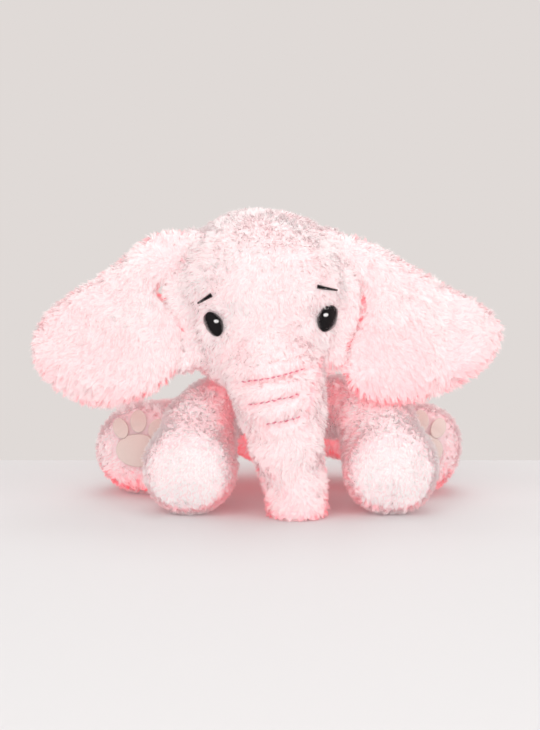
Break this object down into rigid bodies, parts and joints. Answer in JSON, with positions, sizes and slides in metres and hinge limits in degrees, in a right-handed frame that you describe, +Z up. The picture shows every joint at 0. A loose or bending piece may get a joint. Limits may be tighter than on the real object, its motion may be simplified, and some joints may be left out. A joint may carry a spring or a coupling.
{
  "type": "plush elephant",
  "caption": "Soft plush elephant lying on spread legs, with big drooping ears, a hanging trunk, padded paws and a tail; head, ears, trunk, legs and tail flop.",
  "frame": {"origin": "centre of the bounding box in X and Y, on the surface that the toy rests on", "axes": "+X to the elephant's left, -Y the way that it faces, +Z up"},
  "size_m": [0.387, 0.256, 0.245],
  "materials": {
    "pale_plush": "long pile, very pale pink",
    "pink_plush": "long pile, pink",
    "white_plush": "short pile, near white",
    "cream_satin": "smooth padded satin",
    "black_thread": "satin stitch",
    "white_thread": "satin stitch",
    "pink_thread": "sewing thread",
    "polyester_fill": "loose fibre",
    "bag_cloth": "plain woven",
    "pellets": "loose plastic pellets"
  },
  "bodies": {
    "torso": {"torso_skin": "pink_plush", "torso_stuffing": "polyester_fill", "pellet_bag": "bag_cloth", "pellets": "pellets", "closing_seam_stitches": "pink_thread"},
    "head": {"head_skin": "pale_plush", "head_stuffing": "polyester_fill", "eye_left": "black_thread", "eye_right": "black_thread", "eye_highlight_left": "white_thread", "eye_highlight_right": "white_thread", "brow_left": "black_thread", "brow_right": "black_thread"},
    "trunk_upper": {"trunk_upper_skin": "pale_plush", "trunk_upper_stuffing": "polyester_fill", "trunk_wrinkle_stitches": "pink_thread"},
    "trunk_lower": {"trunk_lower_skin": "pale_plush", "trunk_lower_stuffing": "polyester_fill"},
    "tail": {"tail_tube": "pink_plush", "tail_tuft": "pink_plush"},
    "ear_left": {"ear_left_front_panel": "pale_plush", "ear_left_back_panel": "pink_plush", "ear_left_batting": "polyester_fill"},
    "front_leg_left": {"front_leg_left_skin": "pink_plush", "front_leg_left_stuffing": "polyester_fill", "paw_pad_left": "white_plush"},
    "hind_leg_left": {"hind_leg_left_skin": "pink_plush", "hind_leg_left_stuffing": "polyester_fill", "sole_pad_left": "cream_satin", "toe_pads_left": "cream_satin"},
    "ear_right": {"ear_right_front_panel": "pale_plush", "ear_right_back_panel": "pink_plush", "ear_right_batting": "polyester_fill"},
    "front_leg_right": {"front_leg_right_skin": "pink_plush", "front_leg_right_stuffing": "polyester_fill", "paw_pad_right": "white_plush"},
    "hind_leg_right": {"hind_leg_right_skin": "pink_plush", "hind_leg_right_stuffing": "polyester_fill", "sole_pad_right": "cream_satin", "toe_pads_right": "cream_satin"}
  },
  "joints": [
    {"name": "head_nod", "type": "hinge", "parent": "torso", "child": "head", "pos_m": [0.00326, 0.00555, 0.118], "axis": [-1, 0, 0], "range_deg": [0, 25]},
    {"name": "trunk_lift", "type": "hinge", "parent": "head", "child": "trunk_upper", "pos_m": [0.00126, -0.07295, 0.128], "axis": [-1, 0, 0], "range_deg": [0, 35], "stiffness_Nm_per_rad": 0.05},
    {"name": "trunk_curl", "type": "hinge", "parent": "trunk_upper", "child": "trunk_lower", "pos_m": [0.01426, -0.09495, 0.06], "axis": [-1, 0, 0], "range_deg": [0, 21]},
    {"name": "ear_left_flap", "type": "hinge", "parent": "head", "child": "ear_left", "pos_m": [0.06076, -0.05995, 0.208], "axis": [0.458, -0.0729, -0.886], "range_deg": [-8, 10], "stiffness_Nm_per_rad": 0.15},
    {"name": "ear_right_flap", "type": "hinge", "parent": "head", "child": "ear_right", "pos_m": [-0.07024, -0.05995, 0.208], "axis": [0.3951, 0.0729, 0.9158], "range_deg": [-8, 20], "stiffness_Nm_per_rad": 0.15},
    {"name": "front_leg_left_splay", "type": "hinge", "parent": "torso", "child": "front_leg_left", "pos_m": [0.05426, 0.00105, 0.074], "axis": [0, 0, 1], "range_deg": [-3, 9], "stiffness_Nm_per_rad": 0.1},
    {"name": "front_leg_right_splay", "type": "hinge", "parent": "torso", "child": "front_leg_right", "pos_m": [-0.03374, 0.00105, 0.074], "axis": [0, 0, -1], "range_deg": [-3, 9], "stiffness_Nm_per_rad": 0.1},
    {"name": "hind_leg_left_splay", "type": "hinge", "parent": "torso", "child": "hind_leg_left", "pos_m": [0.05926, 0.06305, 0.05], "axis": [0, 0, 1], "range_deg": [-2, 25], "stiffness_Nm_per_rad": 0.1},
    {"name": "hind_leg_right_splay", "type": "hinge", "parent": "torso", "child": "hind_leg_right", "pos_m": [-0.04074, 0.06305, 0.05], "axis": [0, 0, -1], "range_deg": [-2, 25], "stiffness_Nm_per_rad": 0.1},
    {"name": "tail_wag", "type": "hinge", "parent": "torso", "child": "tail", "pos_m": [0.00926, 0.11055, 0.092], "axis": [0, 1, 0], "range_deg": [-40, 40], "stiffness_Nm_per_rad": 0.01}
  ],
  "couplings": [
    {"joint": "trunk_curl", "follows": "trunk_lift", "ratio": 0.6}
  ]
}
